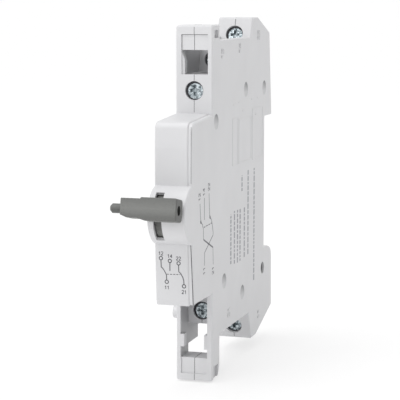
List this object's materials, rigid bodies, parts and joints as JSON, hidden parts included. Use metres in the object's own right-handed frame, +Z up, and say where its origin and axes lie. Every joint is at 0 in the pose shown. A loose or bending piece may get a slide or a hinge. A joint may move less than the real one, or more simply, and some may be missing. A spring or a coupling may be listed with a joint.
{
  "type": "auxiliary contact block",
  "caption": "Narrow rail-mounted auxiliary contact block with a coupled side lever, stepped screw terminals and a rear notch for a mounting rail.",
  "frame": {"origin": "middle of the face at the bottom of the rail notch, half way across the width", "axes": "+X to the right side with the bearing disc, +Y back towards the rail, +Z up towards terminals 12, 14 and 22"},
  "size_m": [0.0165, 0.0831, 0.0865],
  "materials": {
    "housing": "pale grey moulded plastic, slightly satin",
    "lever": "mid grey moulded plastic",
    "slider": "natural moulded plastic",
    "screw": "zinc plated steel",
    "clamp": "yellow passivated steel",
    "strip": "copper alloy strip",
    "contact": "silver alloy contact"
  },
  "bodies": {
    "housing": {"base_shell": "housing", "cover_shell": "housing", "contact_strip_12": "strip", "contact_strip_14": "strip", "contact_strip_22": "strip", "contact_strip_11": "strip", "contact_strip_21": "strip", "fixed_contact_12": "contact", "fixed_contact_14": "contact", "fixed_contact_22": "contact"},
    "lever": {"lever": "lever"},
    "slider": {"drive_slider": "slider"},
    "arm_11": {"contact_arm_11": "strip", "moving_contact_11": "contact"},
    "arm_21": {"contact_arm_21": "strip", "moving_contact_21": "contact"},
    "screw_12": {"terminal_screw_12": "screw"},
    "clamp_12": {"clamp_12": "clamp"},
    "screw_14": {"terminal_screw_14": "screw"},
    "clamp_14": {"clamp_14": "clamp"},
    "screw_22": {"terminal_screw_22": "screw"},
    "clamp_22": {"clamp_22": "clamp"},
    "screw_11": {"terminal_screw_11": "screw"},
    "clamp_11": {"clamp_11": "clamp"},
    "screw_21": {"terminal_screw_21": "screw"},
    "clamp_21": {"clamp_21": "clamp"}
  },
  "joints": [
    {"name": "lever_swing", "type": "hinge", "parent": "housing", "child": "lever", "pos_m": [0, -0.0626, -0.0004], "axis": [-1, 0, 0], "range_deg": [-52, 28]},
    {"name": "slider_travel", "type": "slide", "parent": "housing", "child": "slider", "axis": [0, 1, 0], "range_m": [-0.00218, 0.00118]},
    {"name": "arm_11_swing", "type": "hinge", "parent": "housing", "child": "arm_11", "pos_m": [0, -0.0335, -0.017], "axis": [-1, 0, 0], "range_deg": [-6.1, 3.3]},
    {"name": "arm_21_swing", "type": "hinge", "parent": "housing", "child": "arm_21", "pos_m": [0, -0.01, -0.017], "axis": [-1, 0, 0], "range_deg": [-6.1, 3.3]},
    {"name": "screw_12_turn", "type": "hinge", "parent": "housing", "child": "screw_12", "pos_m": [0, -0.048, 0.0271], "axis": [0, 1, 0], "range_deg": [0, 1440]},
    {"name": "clamp_12_rise", "type": "slide", "parent": "housing", "child": "clamp_12", "axis": [0, -1, 0], "range_m": [0, 0.002]},
    {"name": "screw_14_turn", "type": "hinge", "parent": "housing", "child": "screw_14", "pos_m": [0, -0.0322, 0.034], "axis": [0, 0.9397, -0.342], "range_deg": [0, 1440]},
    {"name": "clamp_14_rise", "type": "slide", "parent": "housing", "child": "clamp_14", "axis": [0, -0.9397, 0.342], "range_m": [0, 0.002]},
    {"name": "screw_22_turn", "type": "hinge", "parent": "housing", "child": "screw_22", "pos_m": [0, -0.01366, 0.0396], "axis": [0, 0.9397, -0.342], "range_deg": [0, 1440]},
    {"name": "clamp_22_rise", "type": "slide", "parent": "housing", "child": "clamp_22", "axis": [0, -0.9397, 0.342], "range_m": [0, 0.002]},
    {"name": "screw_11_turn", "type": "hinge", "parent": "housing", "child": "screw_11", "pos_m": [0, -0.01387, -0.0362], "axis": [0, 0.9397, 0.342], "range_deg": [0, 1440]},
    {"name": "clamp_11_rise", "type": "slide", "parent": "housing", "child": "clamp_11", "axis": [0, -0.9397, -0.342], "range_m": [0, 0.002]},
    {"name": "screw_21_turn", "type": "hinge", "parent": "housing", "child": "screw_21", "pos_m": [0, -0.0417, -0.0269], "axis": [0, 1, 0], "range_deg": [0, 1440]},
    {"name": "clamp_21_rise", "type": "slide", "parent": "housing", "child": "clamp_21", "axis": [0, -1, 0], "range_m": [0, 0.002]}
  ],
  "couplings": [
    {"joint": "lever_swing", "follows": "slider_travel", "rad_per_m": 415.8},
    {"joint": "arm_11_swing", "follows": "slider_travel", "rad_per_m": 48.309},
    {"joint": "arm_21_swing", "follows": "slider_travel", "rad_per_m": 48.309},
    {"joint": "screw_12_turn", "follows": "clamp_12_rise", "rad_per_m": 12566},
    {"joint": "screw_14_turn", "follows": "clamp_14_rise", "rad_per_m": 12566},
    {"joint": "screw_22_turn", "follows": "clamp_22_rise", "rad_per_m": 12566},
    {"joint": "screw_11_turn", "follows": "clamp_11_rise", "rad_per_m": 12566},
    {"joint": "screw_21_turn", "follows": "clamp_21_rise", "rad_per_m": 12566}
  ]
}
